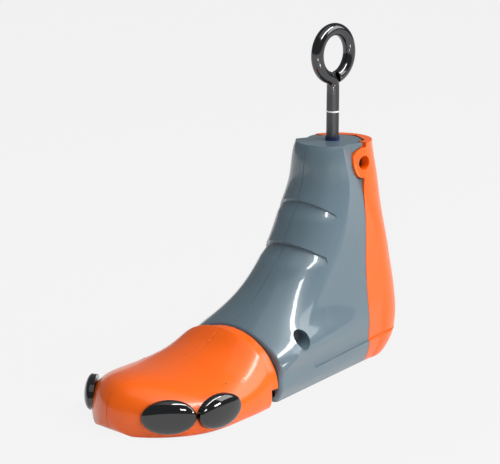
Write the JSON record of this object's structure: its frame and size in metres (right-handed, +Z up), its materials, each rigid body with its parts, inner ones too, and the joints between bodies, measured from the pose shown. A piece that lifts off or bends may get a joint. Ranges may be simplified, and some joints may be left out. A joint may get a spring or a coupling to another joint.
{
  "type": "shoe stretcher",
  "caption": "Screw-driven shoe stretcher with a grey leg, an orange split toe and heel, black pressure plugs and a bent-eye rod",
  "frame": {"origin": "on the sole plane, under the axis of the rod", "axes": "+X to the toe along the foot, +Y to the left side of the stretcher, +Z up along the rod"},
  "size_m": [0.241, 0.0943, 0.2124],
  "materials": {
    "grey_shell": "polished moulded plastic",
    "orange_shell": "polished moulded plastic",
    "black_plug": "high gloss",
    "dark_steel": "blackened and polished",
    "steel": "turned",
    "seal": "satin",
    "brass_nut": "turned",
    "inner_nylon": "moulded, plain"
  },
  "bodies": {
    "leg": {"left_body_shell": "grey_shell", "right_body_shell": "grey_shell", "shell_screws": "steel", "left_heel_pin": "steel", "right_heel_pin": "steel", "rod_seal": "seal", "travel_nut": "brass_nut", "spreader_plate": "steel", "spreader_anchor_pins": "steel"},
    "drive": {"drive_block": "inner_nylon", "rod_clip": "steel"},
    "handle": {"eye_screw": "dark_steel"},
    "heel": {"heel_shell": "orange_shell", "heel_cam_pin": "steel"},
    "carriage": {"toe_carriage": "orange_shell", "carriage_cam_pin": "steel", "rear_guide_rod": "steel", "front_guide_rod": "steel"},
    "toe_left": {"left_toe_shell": "orange_shell", "left_spread_pin": "steel"},
    "toe_right": {"right_toe_shell": "orange_shell", "right_spread_pin": "steel"},
    "plug_left_front": {"left_front_plug": "black_plug"},
    "plug_left_rear": {"left_rear_plug": "black_plug"},
    "plug_right_front": {"right_front_plug": "black_plug"}
  },
  "joints": [
    {"name": "drive_slide", "type": "slide", "parent": "leg", "child": "drive", "axis": [0, 0, -1], "range_m": [0, 0.0175]},
    {"name": "handle_turn", "type": "hinge", "parent": "drive", "child": "handle", "pos_m": [0, 0, 0.1], "axis": [0, 0, -1], "range_deg": [0, 5040]},
    {"name": "carriage_slide", "type": "slide", "parent": "leg", "child": "carriage", "axis": [1, 0, 0], "range_m": [0, 0.01925]},
    {"name": "toe_left_slide", "type": "slide", "parent": "carriage", "child": "toe_left", "axis": [0, 1, 0], "range_m": [0, 0.0085]},
    {"name": "toe_right_slide", "type": "slide", "parent": "carriage", "child": "toe_right", "axis": [0, -1, 0], "range_m": [0, 0.0085]},
    {"name": "heel_swing", "type": "hinge", "parent": "leg", "child": "heel", "pos_m": [-0.006, 0, 0.1275], "axis": [0, 1, 0], "range_deg": [0, 7.5]},
    {"name": "left_front_plug_pull", "type": "slide", "parent": "toe_left", "child": "plug_left_front", "axis": [0.6634, 0.7483, 0], "range_m": [0, 0.012]},
    {"name": "left_rear_plug_pull", "type": "slide", "parent": "toe_left", "child": "plug_left_rear", "axis": [0.0573, 0.9984, 0], "range_m": [0, 0.012]},
    {"name": "right_front_plug_pull", "type": "slide", "parent": "toe_right", "child": "plug_right_front", "axis": [0.6634, -0.7483, 0], "range_m": [0, 0.012]}
  ],
  "couplings": [
    {"joint": "handle_turn", "follows": "drive_slide", "rad_per_m": 5026.5},
    {"joint": "carriage_slide", "follows": "drive_slide", "ratio": 1.1},
    {"joint": "toe_left_slide", "follows": "drive_slide", "ratio": 0.48571},
    {"joint": "toe_right_slide", "follows": "drive_slide", "ratio": 0.48571},
    {"joint": "heel_swing", "follows": "drive_slide", "rad_per_m": 7.48}
  ]
}
